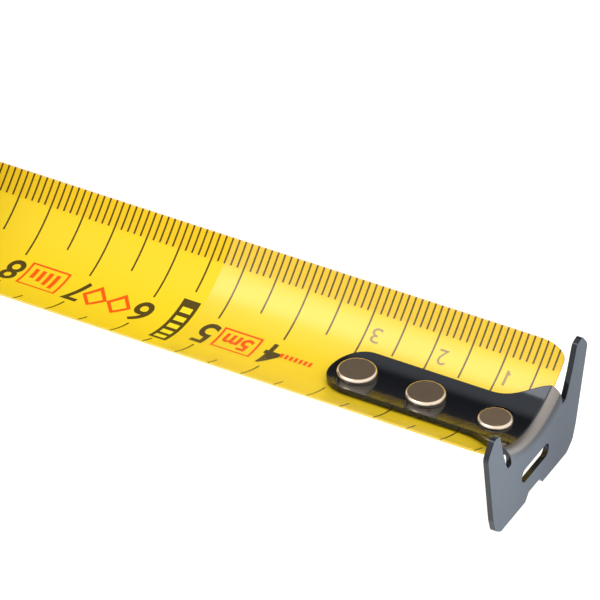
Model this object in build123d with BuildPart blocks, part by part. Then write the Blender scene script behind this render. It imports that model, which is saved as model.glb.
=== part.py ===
from build123d import *
from math import cos, radians, sin, sqrt
import os

# A pocket tape measure, 5 m long and 25 mm wide, with some of its blade drawn out.
# Millimetres. +X runs along the blade to its hook, +Z is up, Y is across the blade.
# The origin is on the flat base, straight under the axis of the reel.

# Case
case_rear = -32.5
case_front = 39.0
case_height = 72.0
case_width = 40.0
brow_x = 24.0  # where the top starts to slope down to the front
brow_z = 52.0  # where that slope meets the upright front
corner_radii = [9.0, 2.6, 9.0, 14.0, 17.0]
wall = 2.5
edge_round = 3.0
snug_gap = 0.05  # between pieces that are fastened together
fit_gap = 0.02  # radial, where a pin or screw is held tight
running_gap = 0.06  # radial, round a shaft that turns
free_gap = 0.35  # between pieces that pass each other
half_width = case_width / 2
inner_half = half_width - wall

# Case screws, and the round badge
screw_points = [(-25.0, 6.5), (-25.0, 64.5), (23.5, 62.5), (31.0, 5.4)]
boss_radius = 3.0
screw_radius = 1.3
head_radius = 2.6
head_height = 1.7
badge_radius = 18.5
badge_depth = 0.8
badge_thick = 1.3

# Rubber grip and bumper
grip_half = 13.0
grip_depth = 1.3
grip_proud = 0.8
grip_front = 16.0
grip_bottom = 9.0
mouth_half = 13.0
mouth_span = (8.0, 17.6)
bumper_half = 12.0
bumper_span = (1.6, 8.4)
bumper_inset = 1.0
bumper_proud = 2.2

# Reel
axis_z = 42.0
post_radius = 4.0
post_socket = 0.7
drum_radius = 17.8
drum_wall = 1.2
drum_side = 1.4
coil_radius = 25.3
blade_width = 25.0
spring_width = 22.0
spring_thick = 0.25
spring_pitch = 0.9
spring_turns = 10
anchor_width = 8.0
anchor_thick = 0.6

# Blade: a trough, an arc with two straight wings
blade_z = 11.0  # underside of the trough's lowest line
blade_thick = 0.2
trough_radius = 14.6  # of the underside
trough_centre = blade_z + trough_radius  # height of the arc's axis
trough_angle = 33.8  # half of the arc
wing = 3.95
blade_rear = 16.0
scale_zero = 144.0
blade_end = scale_zero - 2.0
blade_corner = 4.0
blade_half = 11.5
film_lift = 0.22
film_thick = 0.08
film_length = 51.0

# Hook
hook_thick = 0.8
hook_play = hook_thick  # the hook rests pushed in, and pulls out by its own thickness
hook_front = scale_zero - 0.3
hook_back = hook_front - hook_thick
hook_lift = 0.4  # from the blade's underside to the tongue's
hook_roll = -9.8  # the hook sits a little to one side, turned round the trough's axis
tongue_angle = 40.0  # half of the tongue's arc
tongue_half = 4.6
flare_half = 7.7
flare_length = 7.4
tongue_rear = scale_zero - 31.4
edge_z = blade_z + 4.75  # height of the blade's edges
bend_outer = 1.8
bend_inner = 0.6
nail_slot = (8.2, 2.2)
nail_z = edge_z - 8.45
rivet_shank = 1.3
rivets_wide = [scale_zero - 27.3, scale_zero - 16.95]
rivets_narrow = [scale_zero - 6.5]
wide_head = 2.8
narrow_head = 2.45
wide_tall = 1.0
narrow_tall = 0.6
rivet_tail = 2.1
tail_height = 0.7
washer_radius = 2.9
washer_thick = 0.5

# Lock and brake
button_z = 34.0  # lower edge of the thumb button
button_tall = 16.0
button_half = 8.5
button_thick = 3.6
button_gap = 0.4
slider_travel = 6.0
stem_half = 3.4
stem_tall = 6.0
keeper_half = 6.0
keeper_front = case_front - wall - free_gap
keeper_rear = 34.0
keeper_top = 46.0
wedge_toe_z = 33.2
pivot_x = 33.0
pivot_z = 24.0
pin_radius = 1.25
pin_half = 12.0
pin_boss = 2.6
pin_boss_half = 5.0
lever_half = 4.0
lever_hub = 2.7
pad_x = 26.0
pad_bottom = blade_z + 1.95
pad_half = 3.0

# Belt clip
clip_thick = 1.2
clip_width = 14.0
clip_top = 66.0
clip_bend = 50.0
clip_split = 0.3
clip_lift = 0.1  # keeps the arm off the case at its bend
clip_gap = 5.2
clip_screw_z = 58.0
clip_hole = 1.6
plate_half = 5.0
plate_thick = 1.2

os.makedirs("parts", exist_ok=True)


def save(builder, name):
    """Labels a finished piece and writes it under its node's name."""
    builder.part.label = name
    export_step(builder.part, f"parts/{name}.step")


def side_plane(y):
    """The plane across Y at y, with X to the right and Z up. Extruding goes towards -Y."""
    return Plane.XZ.offset(-y)


def rod(x, z, y_low, y_high, radius, mode=Mode.ADD):
    """A round bar along Y, added to or taken from the part being built."""
    with BuildSketch(side_plane(y_high)) as end:
        with Locations((x, z)):
            Circle(radius)
    extrude(end.sketch, amount=y_high - y_low, mode=mode)


def stud(x, y, z_low, z_high, radius, mode=Mode.ADD):
    """A round bar along Z, added to or taken from the part being built."""
    with BuildSketch(Plane.XY.offset(z_low)) as end:
        with Locations((x, y)):
            Circle(radius)
    extrude(end.sketch, amount=z_high - z_low, mode=mode)


def block(x_span, y_span, z_span, mode=Mode.ADD):
    """A box between two corners, added to or taken from the part being built."""
    spans = (x_span, y_span, z_span)
    with Locations(tuple((low + high) / 2 for low, high in spans)):
        Box(*(high - low for low, high in spans), mode=mode)


def mirrored(side, low, high):
    """A span across Y on one side of the seam, lowest value first."""
    return (low, high) if side > 0 else (-high, -low)


# ---- Case ----

def case_outline(inset):
    """Side view of the case, shrunk by inset: flat base, upright front, sloped brow, round rear."""
    corners = [(case_rear, 0), (case_front, 0), (case_front, brow_z),
               (brow_x, case_height), (case_rear, case_height)]
    with BuildSketch(mode=Mode.PRIVATE) as outline:
        with BuildLine():
            FilletPolyline(*corners, radius=corner_radii, close=True)
        make_face()
        if inset != 0:
            offset(amount=-inset, mode=Mode.REPLACE)
    return outline.sketch_local


def grip_band(half, depth, slack, mode=Mode.ADD):
    """The band that the rubber grip fills, over the rear and top: grip_proud outside, depth inside."""
    low = grip_bottom - slack
    front = grip_front + slack
    with BuildSketch(side_plane(half)) as band:
        add(case_outline(-grip_proud))
        add(case_outline(depth), mode=Mode.SUBTRACT)
        with Locations(((case_rear - 5 + front) / 2, (low + case_height + 5) / 2)):
            Rectangle(front - case_rear + 5, case_height + 5 - low, mode=Mode.INTERSECT)
    extrude(band.sketch, amount=2 * half, mode=mode)


def case_half(side):
    """One half of the case, side +1 for +Y or -1 for -Y: a tray with its bosses, open at the seam."""
    with BuildPart() as half:
        with BuildSketch(Plane.XZ):
            add(case_outline(0))
        extrude(amount=-side * half_width)
        fillet(half.faces().sort_by(Axis.Y)[-1 if side > 0 else 0].edges(), edge_round)
        with BuildSketch(Plane.XZ):
            add(case_outline(wall))
        extrude(amount=-side * inner_half, mode=Mode.SUBTRACT)
        for x, z in screw_points:
            rod(x, z, *mirrored(side, 0, inner_half + snug_gap), boss_radius)
        rod(pivot_x, pivot_z, *mirrored(side, pin_boss_half, inner_half + snug_gap), pin_boss)
        rod(pivot_x, pivot_z, *mirrored(side, pin_boss_half - 1, pin_half + snug_gap),
            pin_radius + fit_gap, Mode.SUBTRACT)
        rod(0, axis_z, *mirrored(side, inner_half - 1, inner_half + post_socket),
            post_radius + snug_gap, Mode.SUBTRACT)
        grip_band(grip_half + snug_gap, grip_depth + snug_gap, snug_gap, Mode.SUBTRACT)
        block((case_front - 3 * wall, case_front + 1), (-mouth_half, mouth_half), mouth_span, Mode.SUBTRACT)
        bumper_room = bumper_half + snug_gap
        block((case_front - bumper_inset - snug_gap, case_front + 1), (-bumper_room, bumper_room),
              (bumper_span[0] - snug_gap, bumper_span[1] + snug_gap), Mode.SUBTRACT)
        stem_gap = stem_half + free_gap
        stem_low = button_z + (button_tall - stem_tall) / 2 - slider_travel - free_gap
        stem_high = button_z + (button_tall + stem_tall) / 2 + free_gap
        block((case_front - 2 * wall, case_front + 1), (-stem_gap, stem_gap), (stem_low, stem_high),
              Mode.SUBTRACT)
        if side > 0:
            rod(0, axis_z, half_width - badge_depth, half_width + 1, badge_radius + snug_gap, Mode.SUBTRACT)
            for x, z in screw_points:
                rod(x, z, -1, 9, screw_radius + fit_gap, Mode.SUBTRACT)
        else:
            for x, z in screw_points + [(0, axis_z)]:
                rod(x, z, -half_width - 1, -half_width + head_height, head_radius + snug_gap, Mode.SUBTRACT)
                rod(x, z, -half_width, 1, screw_radius + snug_gap, Mode.SUBTRACT)
            rod(0, clip_screw_z, -half_width - 1, 0, clip_hole + snug_gap, Mode.SUBTRACT)
    return half


case_left = case_half(1)
save(case_left, "case_left")
case_right = case_half(-1)
save(case_right, "case_right")

with BuildPart() as grip:
    grip_band(grip_half, grip_depth, 0)
save(grip, "rubber_grip")

with BuildPart() as bumper:
    block((case_front - bumper_inset, case_front + bumper_proud), (-bumper_half, bumper_half), bumper_span)
    fillet(bumper.faces().sort_by(Axis.X)[-1].edges(), 1.2)
save(bumper, "mouth_bumper")

with BuildPart() as badge:
    rod(0, axis_z, half_width - badge_depth, half_width - badge_depth + badge_thick, badge_radius)
    fillet(badge.faces().sort_by(Axis.Y)[-1].edges(), 0.4)
save(badge, "side_badge")


def screw(x, z, length):
    """A flat-headed screw from the -Y side, with a cross recess."""
    head_out = -half_width + 0.1
    rod(x, z, head_out, -half_width + head_height, head_radius)
    rod(x, z, head_out, -half_width + length, screw_radius)
    for wide, tall in ((2.8, 0.7), (0.7, 2.8)):
        block((x - wide / 2, x + wide / 2), (head_out - 1, head_out + 1), (z - tall / 2, z + tall / 2),
              Mode.SUBTRACT)


with BuildPart() as case_screws:
    for screw_x, screw_z in screw_points:
        screw(screw_x, screw_z, half_width + 8.5)
save(case_screws, "case_screws")

with BuildPart() as post_screw:
    screw(0, axis_z, 12)
save(post_screw, "post_screw")

with BuildPart() as center_post:
    rod(0, axis_z, -inner_half - post_socket + snug_gap, inner_half + post_socket - snug_gap, post_radius)
    block((-0.4, 0.4), (-spring_width / 2, spring_width / 2), (axis_z, axis_z + post_radius + 1),
          Mode.SUBTRACT)
    rod(0, axis_z, -inner_half - post_socket - 1, -half_width + 12.5, screw_radius + 0.02, Mode.SUBTRACT)
save(center_post, "center_post")


# ---- Reel ----

with BuildPart() as drum:
    inner_side = blade_width / 2 + 0.1
    rod(0, axis_z, -inner_side - drum_side, inner_side, drum_radius)
    rod(0, axis_z, -inner_side, inner_side + 1, drum_radius - drum_wall, Mode.SUBTRACT)
    rod(0, axis_z, -inner_side - drum_side - 1, 0, post_radius + running_gap, Mode.SUBTRACT)
    block((-anchor_thick / 2 - snug_gap, anchor_thick / 2 + snug_gap),
          (-anchor_width / 2 - snug_gap, anchor_width / 2 + snug_gap),
          (axis_z - drum_radius - 1, axis_z - drum_radius + 2), Mode.SUBTRACT)
save(drum, "spring_drum")

with BuildPart() as drum_cover:
    rod(0, axis_z, inner_side + snug_gap, inner_side + drum_side, drum_radius)
    rod(0, axis_z, inner_side - 2, inner_side + snug_gap, drum_radius - drum_wall - snug_gap)
    rod(0, axis_z, inner_side - 3, inner_side + snug_gap, drum_radius - 2.4 * drum_wall, Mode.SUBTRACT)
    rod(0, axis_z, inner_side - 3, inner_side + drum_side + 1, post_radius + running_gap, Mode.SUBTRACT)
save(drum_cover, "drum_cover")


def spiral(start_radius, pitch, turns, thick):
    """A strip wound in half circles whose centres step from side to side, as one flat face."""
    def half_turns(shift):
        for k in range(2 * turns):
            sign = 1 if k % 2 == 0 else -1
            near = start_radius + shift + k * pitch / 2
            far = near + pitch / 2
            crown = (sign * (near - far) / 2, sign * (near + far) / 2)
            ThreePointArc((sign * near, 0), crown, (-sign * far, 0))

    end_radius = start_radius + turns * pitch
    with BuildLine() as strip:
        half_turns(0)
        half_turns(thick)
        Line((start_radius, 0), (start_radius + thick, 0))
        Line((end_radius, 0), (end_radius + thick, 0))
    make_face(strip.edges())


with BuildPart() as mainspring:
    with BuildSketch(Plane(origin=(0, spring_width / 2, axis_z), x_dir=(1, 0, 0), z_dir=(0, -1, 0))):
        spiral(post_radius + 0.6, spring_pitch, spring_turns, spring_thick)
    extrude(amount=spring_width)
save(mainspring, "mainspring")

with BuildPart() as coil:
    rod(0, axis_z, -blade_width / 2, blade_width / 2, coil_radius)
    rod(0, axis_z, -blade_width / 2 - 1, blade_width / 2 + 1, drum_radius + 0.3, Mode.SUBTRACT)
save(coil, "blade_coil")

with BuildPart() as anchor:
    block((-anchor_thick / 2, anchor_thick / 2), (-anchor_width / 2, anchor_width / 2),
          (axis_z - drum_radius - 0.2, axis_z - drum_radius + drum_wall + 0.8))
save(anchor, "blade_anchor")


# ---- Blade ----

def trough_points(lift, reach, angle=trough_angle):
    """Tip, arc end and arc middle of the trough's curve, lift above the blade's underside."""
    turn = radians(angle)
    radius = trough_radius - lift
    end = (radius * sin(turn), blade_z + trough_radius - radius * cos(turn))
    tip = (end[0] + reach * cos(turn), end[1] + reach * sin(turn))
    return tip, end, (0, blade_z + lift)


def flip(point):
    """The same point on the other side of the blade's centre line."""
    return -point[0], point[1]


def trough_curve(lift, reach, angle=trough_angle):
    """Draws the curve from one tip to the other: straight wing, arc, straight wing."""
    tip, end, middle = trough_points(lift, reach, angle)
    Line(flip(tip), flip(end))
    ThreePointArc(flip(end), middle, end)
    Line(end, tip)
    return tip


def trough_strip(lift, thick, x_low, x_high, angle=trough_angle):
    """A strip that follows the trough, from x_low to x_high, in the part being built."""
    with BuildSketch(Plane.YZ.offset(x_low)) as section:
        with BuildLine():
            low_tip = trough_curve(lift, wing, angle)
            high_tip = trough_curve(lift + thick, wing, angle)
            Line(low_tip, high_tip)
            Line(flip(low_tip), flip(high_tip))
        make_face()
    extrude(section.sketch, amount=x_high - x_low)


def round_end(x_low, x_high):
    """Keeps what lies under a plan that is rounded at its hook end."""
    with BuildSketch() as plan:
        with Locations(((x_low + x_high) / 2, 0)):
            Rectangle(x_high - x_low, 2 * blade_half)
        fillet(plan.vertices().group_by(Axis.X)[-1], blade_corner)
    extrude(plan.sketch, amount=axis_z, mode=Mode.INTERSECT)


def rivet_slots(radius, play):
    """Slots that let the rivets slide forward by the hook's play."""
    turn = radians(hook_roll)
    across = Plane(origin=(0, 0, trough_centre), x_dir=(1, 0, 0), z_dir=(0, -sin(turn), cos(turn)))
    with BuildSketch(across) as slots:
        for x in rivets_wide + rivets_narrow:
            with Locations((x + play / 2, 0)):
                SlotOverall(2 * radius + play, 2 * radius)
    extrude(slots.sketch, amount=-2 * trough_radius, mode=Mode.SUBTRACT)


with BuildPart() as blade:
    trough_strip(0, blade_thick, blade_rear, blade_end)
    round_end(blade_rear, blade_end)
    rivet_slots(rivet_shank + 0.1, hook_play)
save(blade, "blade")

with BuildPart() as film:
    trough_strip(film_lift, film_thick, blade_end - film_length, blade_end)
    round_end(blade_end - film_length, blade_end)
    rivet_slots(rivet_shank + 0.1, hook_play)
save(film, "blade_end_film")

with BuildPart() as guide:
    with BuildSketch(Plane.YZ.offset(23.5)):
        with BuildLine():
            guide_tip = trough_curve(-free_gap, wing + 0.6)
            Polyline(guide_tip, (guide_tip[0], 8.5), (-guide_tip[0], 8.5), flip(guide_tip))
        make_face()
    extrude(amount=case_front - 0.4 - 23.5)
save(guide, "blade_guide")


# ---- Hook ----

def save_rolled(builder, name):
    """Writes a piece of the hook, turned round the trough's axis to where the hook sits."""
    piece = builder.part.rotate(Axis((0, 0, trough_centre), (1, 0, 0)), hook_roll)
    piece.label = name
    export_step(piece, f"parts/{name}.step")


def hook_outline():
    """Front view of the plate: two horns, a relief each side of the bend, a notch under the middle."""
    right = [(0, -12.2), (1.65, -12.2), (2.6, -13.3), (10.0, -13.3), (11.7, -12.1), (12.5, -9.9),
             (15.0, 1.9), (13.2, 4.1), (11.6, 3.7), (10.4, 0), (9.3, -2.6), (8.7, -3.6), (flare_half, -3.6)]
    corner = {3: 1.2, 4: 1.0, 6: 1.4, 7: 0.8, 8: 0.6}
    placed = [(y, edge_z + z) for y, z in right]
    arc_radius = trough_radius - hook_lift - bend_inner
    rise = arc_radius - sqrt(arc_radius ** 2 - flare_half ** 2)
    bend_edge = (flare_half, blade_z + hook_lift + bend_inner + rise)
    with BuildLine() as outline:
        Polyline(*[flip(p) for p in reversed(placed[1:])], *placed[1:], bend_edge)
        ThreePointArc(bend_edge, (0, blade_z + hook_lift + bend_inner), flip(bend_edge))
        Line(flip(bend_edge), flip(placed[-1]))
    plate = make_face(outline.edges())
    for index, radius in corner.items():
        for point in (placed[index], flip(placed[index])):
            nearest = plate.vertices().sort_by_distance(Vector(*point))[0]
            plate = fillet(nearest, radius)


def tongue_plan():
    """Top view of the tongue: a rounded strip that flares out to the bend."""
    flare_end = hook_front - bend_outer
    flare_start = flare_end - flare_length
    with BuildSketch() as plan:
        with BuildLine():
            Line((hook_front, -flare_half), (hook_front, flare_half))
            Line((hook_front, flare_half), (flare_end, flare_half))
            Spline((flare_end, flare_half), (flare_start, tongue_half), tangents=[(-1, -0.3), (-1, 0)])
            Line((flare_start, tongue_half), (tongue_rear + tongue_half, tongue_half))
            ThreePointArc((tongue_rear + tongue_half, tongue_half), (tongue_rear, 0),
                          (tongue_rear + tongue_half, -tongue_half))
            Line((tongue_rear + tongue_half, -tongue_half), (flare_start, -tongue_half))
            Spline((flare_start, -tongue_half), (flare_end, -flare_half), tangents=[(1, 0), (1, -0.3)])
            Line((flare_end, -flare_half), (hook_front, -flare_half))
        make_face()
    extrude(plan.sketch, amount=axis_z, mode=Mode.INTERSECT)


def bend_arc(builder, x):
    """The long arc across the bend that lies in the plate's face at x."""
    in_face = builder.edges().filter_by(lambda e: abs(e.center().X - x) < 0.01)
    return in_face.filter_by(GeomType.CIRCLE).sort_by(SortBy.LENGTH)[-1]


head_seat = blade_z + hook_lift + hook_thick

with BuildPart() as hook:
    trough_strip(hook_lift, hook_thick, tongue_rear, hook_front, tongue_angle)
    tongue_plan()
    with BuildSketch(Plane.YZ.offset(hook_back)):
        hook_outline()
    extrude(amount=hook_thick)
    fillet(bend_arc(hook, hook_front), bend_outer)
    fillet(bend_arc(hook, hook_back), bend_inner)
    with BuildSketch(Plane.YZ.offset(hook_back)):
        with Locations((0, nail_z)):
            SlotOverall(*nail_slot)
    extrude(amount=hook_thick, mode=Mode.SUBTRACT)
    for rivet_x in rivets_wide + rivets_narrow:
        stud(rivet_x, 0, blade_z - 1, blade_z + 5, rivet_shank + 0.02, Mode.SUBTRACT)
        stud(rivet_x, 0, head_seat, head_seat + 3, wide_head + 0.05, Mode.SUBTRACT)
save_rolled(hook, "end_hook")


def rivet(x, head, tall):
    """A rivet with a flat, bevelled head on the tongue and a small tail under the washer."""
    tail_top = blade_z - 0.15 - washer_thick
    stud(x, 0, tail_top - tail_height, head_seat, rivet_shank)
    stud(x, 0, tail_top - tail_height, tail_top, rivet_tail)
    stud(x, 0, head_seat, head_seat + tall, head)


with BuildPart() as rivets:
    for rivet_x in rivets_wide:
        rivet(rivet_x, wide_head, wide_tall)
    fillet(rivets.edges().group_by(Axis.Z)[-1], 0.45)
save_rolled(rivets, "hook_rivets")

with BuildPart() as front_rivet:
    rivet(rivets_narrow[0], narrow_head, narrow_tall)
    fillet(front_rivet.edges().group_by(Axis.Z)[-1], 0.45)
save_rolled(front_rivet, "hook_rivet_front")

with BuildPart() as washers:
    for rivet_x in rivets_wide + rivets_narrow:
        stud(rivet_x, 0, blade_z - 0.1 - washer_thick, blade_z - 0.1, washer_radius)
        stud(rivet_x, 0, blade_z - 1, blade_z, rivet_shank + 0.03, Mode.SUBTRACT)
save_rolled(washers, "rivet_washers")


# ---- Lock and brake ----

button_mid = button_z + button_tall / 2
button_back = case_front + button_gap

with BuildPart() as slider:
    block((button_back, button_back + button_thick), (-button_half, button_half),
          (button_z, button_z + button_tall))
    fillet(slider.edges().filter_by(Axis.X), 3)
    fillet(slider.faces().sort_by(Axis.X)[-1].edges(), 1)
    block((keeper_front - 1, button_back + 0.5), (-stem_half, stem_half),
          (button_mid - stem_tall / 2, button_mid + stem_tall / 2))
    with BuildSketch(side_plane(keeper_half)):
        with BuildLine():
            Polyline((keeper_front, keeper_top), (keeper_front, wedge_toe_z), (keeper_rear, wedge_toe_z),
                     (keeper_rear - 2.2, wedge_toe_z + 8.8), (keeper_rear - 2.2, keeper_top), close=True)
        make_face()
    extrude(amount=2 * keeper_half)
save(slider, "lock_slider")

with BuildPart() as thumb_pad:
    block((button_back + button_thick + snug_gap, button_back + button_thick + 0.9),
          (-button_half + 2, button_half - 2),
          (button_z + 2, button_z + button_tall - 2))
    for step in range(4):
        rib_z = button_z + 3.6 + step * 2.6
        block((button_back + button_thick + 0.5, button_back + button_thick + 1.7),
              (-button_half + 2.6, button_half - 2.6), (rib_z, rib_z + 1.1))
save(thumb_pad, "thumb_pad")

with BuildPart() as brake_pin:
    rod(pivot_x, pivot_z, -pin_half, pin_half, pin_radius)
save(brake_pin, "brake_pin")

with BuildPart() as lever:
    with BuildSketch(side_plane(lever_half)):
        with BuildLine():
            Polyline((pivot_x - 2.6, pivot_z + 0.4), (pivot_x - 1.6, 33.6), (pivot_x + 0.5, 33.6),
                     (pivot_x + 1.0, pivot_z + 4), (pivot_x + 1.0, pivot_z + 1), (pivot_x + 2.6, pivot_z),
                     (pivot_x, pivot_z - 2.6), (pad_x + 2.4, pad_bottom + 1.2),
                     (pad_x - 2.4, pad_bottom + 1.2),
                     (pad_x - 2.4, pad_bottom + 3.4), close=True)
        make_face()
        with Locations((pivot_x, pivot_z)):
            Circle(lever_hub)
    extrude(amount=2 * lever_half)
    rod(pivot_x, pivot_z, -lever_half - 1, lever_half + 1, pin_radius + running_gap, Mode.SUBTRACT)
save(lever, "brake_lever")

with BuildPart() as pad:
    block((pad_x - 2.4, pad_x + 2.4), (-pad_half, pad_half), (pad_bottom, pad_bottom + 1.2 - snug_gap))
    fillet(pad.edges().filter_by(Axis.X).group_by(Axis.Z)[0], 1.0)
save(pad, "brake_pad")


# ---- Belt clip ----

clip_back = -half_width - clip_thick
arm_top = clip_bend - clip_split

with BuildPart() as clip_foot:
    block((-clip_width / 2, clip_width / 2), (clip_back, -half_width), (clip_bend, clip_top))
    fillet(clip_foot.edges().filter_by(Axis.Y).group_by(Axis.Z)[-1], 3)
    rod(0, clip_screw_z, clip_back - 1, 0, clip_hole + snug_gap, Mode.SUBTRACT)
save(clip_foot, "belt_clip_foot")

with BuildPart() as clip_arm:
    with BuildSketch(Plane.YZ.offset(-clip_width / 2)):
        with BuildLine() as clip_path:
            path_y = -half_width - clip_lift - clip_thick / 2
            out_y = path_y - clip_gap
            FilletPolyline((path_y, arm_top), (path_y, arm_top - 3.5), (out_y, arm_top - 10.5), (out_y, 26),
                           (path_y - 1.6, 18), (out_y - 0.4, 12.5), radius=[4, 4, 4, 3])
        trace(line_width=clip_thick)
    extrude(amount=clip_width)
save(clip_arm, "belt_clip_arm")

with BuildPart() as clip_screw:
    rod(0, clip_screw_z, clip_back - 1.3, clip_back, 2.9)
    fillet(clip_screw.faces().sort_by(Axis.Y)[0].edges(), 0.6)
    rod(0, clip_screw_z, clip_back, -inner_half + plate_thick + 0.2, clip_hole)
    block((-1.9, 1.9), (clip_back - 2, clip_back - 0.7), (clip_screw_z - 0.4, clip_screw_z + 0.4),
          Mode.SUBTRACT)
save(clip_screw, "clip_screw")

with BuildPart() as clip_plate:
    block((-plate_half, plate_half), (-inner_half + snug_gap, -inner_half + plate_thick),
          (clip_screw_z - plate_half, clip_screw_z + plate_half))
    rod(0, clip_screw_z, -inner_half - 1, -inner_half + 3, clip_hole + 0.02, Mode.SUBTRACT)
save(clip_plate, "clip_plate")
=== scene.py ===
import bmesh
import bpy
import math
import numpy as np
from mathutils import Matrix, Vector


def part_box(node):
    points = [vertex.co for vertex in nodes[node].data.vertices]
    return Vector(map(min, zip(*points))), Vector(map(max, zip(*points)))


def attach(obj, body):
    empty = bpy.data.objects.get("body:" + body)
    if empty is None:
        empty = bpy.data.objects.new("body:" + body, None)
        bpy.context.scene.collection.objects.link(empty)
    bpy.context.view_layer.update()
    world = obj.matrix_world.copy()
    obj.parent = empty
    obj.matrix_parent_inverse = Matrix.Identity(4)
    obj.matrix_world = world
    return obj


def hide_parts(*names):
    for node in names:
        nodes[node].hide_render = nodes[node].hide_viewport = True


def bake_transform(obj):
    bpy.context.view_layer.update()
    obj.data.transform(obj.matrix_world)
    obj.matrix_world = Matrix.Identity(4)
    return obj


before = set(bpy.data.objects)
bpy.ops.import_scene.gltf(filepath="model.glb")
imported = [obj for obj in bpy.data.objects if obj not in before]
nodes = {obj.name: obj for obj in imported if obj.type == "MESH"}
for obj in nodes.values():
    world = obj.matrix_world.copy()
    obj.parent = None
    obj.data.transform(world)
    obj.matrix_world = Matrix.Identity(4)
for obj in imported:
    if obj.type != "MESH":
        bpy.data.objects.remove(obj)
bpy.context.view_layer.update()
millimetre = 0.001
print("frame loaded", len(nodes), "nodes")


def newMaterial(name):
    material = bpy.data.materials.new(name)
    material.use_nodes = True
    tree = material.node_tree
    tree.nodes.clear()
    output = tree.nodes.new("ShaderNodeOutputMaterial")
    shader = tree.nodes.new("ShaderNodeBsdfPrincipled")
    tree.links.new(shader.outputs[0], output.inputs[0])
    return material, tree, shader


def feed(tree, socket, value):  # a link from a socket, or a plain number
    if isinstance(value, bpy.types.NodeSocket):
        tree.links.new(value, socket)
    else:
        socket.default_value = value


def maths(tree, operation, first, second=0.0, third=0.0, clamp=False):
    node = tree.nodes.new("ShaderNodeMath")
    node.operation = operation
    node.use_clamp = clamp
    for socket, value in zip(node.inputs, (first, second, third)):
        feed(tree, socket, value)
    return node.outputs[0]


def mixColour(tree, factor, first, second, blendType="MIX"):
    node = tree.nodes.new("ShaderNodeMix")
    node.data_type = "RGBA"
    node.blend_type = blendType
    feed(tree, node.inputs[0], factor)
    feed(tree, node.inputs[6], first)
    feed(tree, node.inputs[7], second)
    return node.outputs[2]


def objectPlace(tree):  # object coordinates in metres
    return tree.nodes.new("ShaderNodeTexCoord").outputs["Object"]


def split(tree, vector):
    node = tree.nodes.new("ShaderNodeSeparateXYZ")
    tree.links.new(vector, node.inputs[0])
    return node.outputs


def rangeMask(tree, value, low, high):  # 0 at low, 1 at high, smooth between
    node = tree.nodes.new("ShaderNodeMapRange")
    node.interpolation_type = "SMOOTHSTEP"
    feed(tree, node.inputs["Value"], value)
    node.inputs["From Min"].default_value = low
    node.inputs["From Max"].default_value = high
    return node.outputs[0]


def noiseValue(tree, place, scale, detail=2.0, stretch=None):
    if stretch:
        mapping = tree.nodes.new("ShaderNodeMapping")
        mapping.inputs["Scale"].default_value = stretch
        tree.links.new(place, mapping.inputs["Vector"])
        place = mapping.outputs[0]
    node = tree.nodes.new("ShaderNodeTexNoise")
    node.inputs["Scale"].default_value = scale
    node.inputs["Detail"].default_value = detail
    tree.links.new(place, node.inputs["Vector"])
    return node.outputs["Fac"]


def bumped(tree, height, distance, strength=1.0, base=None):
    node = tree.nodes.new("ShaderNodeBump")
    node.inputs["Strength"].default_value = strength
    node.inputs["Distance"].default_value = distance
    tree.links.new(height, node.inputs["Height"])
    if base is not None:
        tree.links.new(base, node.inputs["Normal"])
    return node.outputs[0]


def roundedEdge(tree, radius):
    node = tree.nodes.new("ShaderNodeBevel")
    node.samples = 4
    node.inputs["Radius"].default_value = radius
    return node.outputs[0]


def newGroup(name, inputs, outputs):
    group = bpy.data.node_groups.new(name, "ShaderNodeTree")
    for label, kind, value in inputs:
        socket = group.interface.new_socket(name=label, in_out="INPUT", socket_type=kind)
        if value is not None:
            socket.default_value = value
    for label, kind in outputs:
        group.interface.new_socket(name=label, in_out="OUTPUT", socket_type=kind)
    return group, group.nodes.new("NodeGroupInput"), group.nodes.new("NodeGroupOutput")


def makeGrainGroup():  # fine moulded or brushed grain: a height and a roughness that vary together
    group, entry, leave = newGroup("surfaceGrain", [
        ("Place", "NodeSocketVector", None), ("Scale", "NodeSocketFloat", 900.0),
        ("Roughness", "NodeSocketFloat", 0.5), ("Spread", "NodeSocketFloat", 0.1)],
        [("Height", "NodeSocketFloat"), ("Roughness", "NodeSocketFloat"), ("Patch", "NodeSocketFloat")])
    fine = group.nodes.new("ShaderNodeTexNoise")
    fine.inputs["Detail"].default_value = 3.0
    group.links.new(entry.outputs["Place"], fine.inputs["Vector"])
    group.links.new(entry.outputs["Scale"], fine.inputs["Scale"])
    broad = group.nodes.new("ShaderNodeTexNoise")
    broad.inputs["Scale"].default_value = 60.0
    broad.inputs["Detail"].default_value = 4.0
    group.links.new(entry.outputs["Place"], broad.inputs["Vector"])
    centred = maths(group, "SUBTRACT", broad.outputs["Fac"], 0.5)
    spread = maths(group, "MULTIPLY", centred, entry.outputs["Spread"])
    rough = maths(group, "ADD", spread, entry.outputs["Roughness"], clamp=True)
    group.links.new(fine.outputs["Fac"], leave.inputs["Height"])
    group.links.new(rough, leave.inputs["Roughness"])
    group.links.new(broad.outputs["Fac"], leave.inputs["Patch"])
    return group


def makeWearGroup():  # paler where edges stick out, broken up by noise
    group, entry, leave = newGroup("edgeWear", [
        ("Place", "NodeSocketVector", None), ("Amount", "NodeSocketFloat", 0.5)],
        [("Mask", "NodeSocketFloat")])
    geometry = group.nodes.new("ShaderNodeNewGeometry")
    breakUp = group.nodes.new("ShaderNodeTexNoise")
    breakUp.inputs["Scale"].default_value = 300.0
    group.links.new(entry.outputs["Place"], breakUp.inputs["Vector"])
    edge = rangeMask(group, geometry.outputs["Pointiness"], 0.52, 0.62)
    broken = rangeMask(group, breakUp.outputs["Fac"], 0.35, 0.65)
    worn = maths(group, "MULTIPLY", edge, broken)
    group.links.new(maths(group, "MULTIPLY", worn, entry.outputs["Amount"]), leave.inputs["Mask"])
    return group


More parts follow.
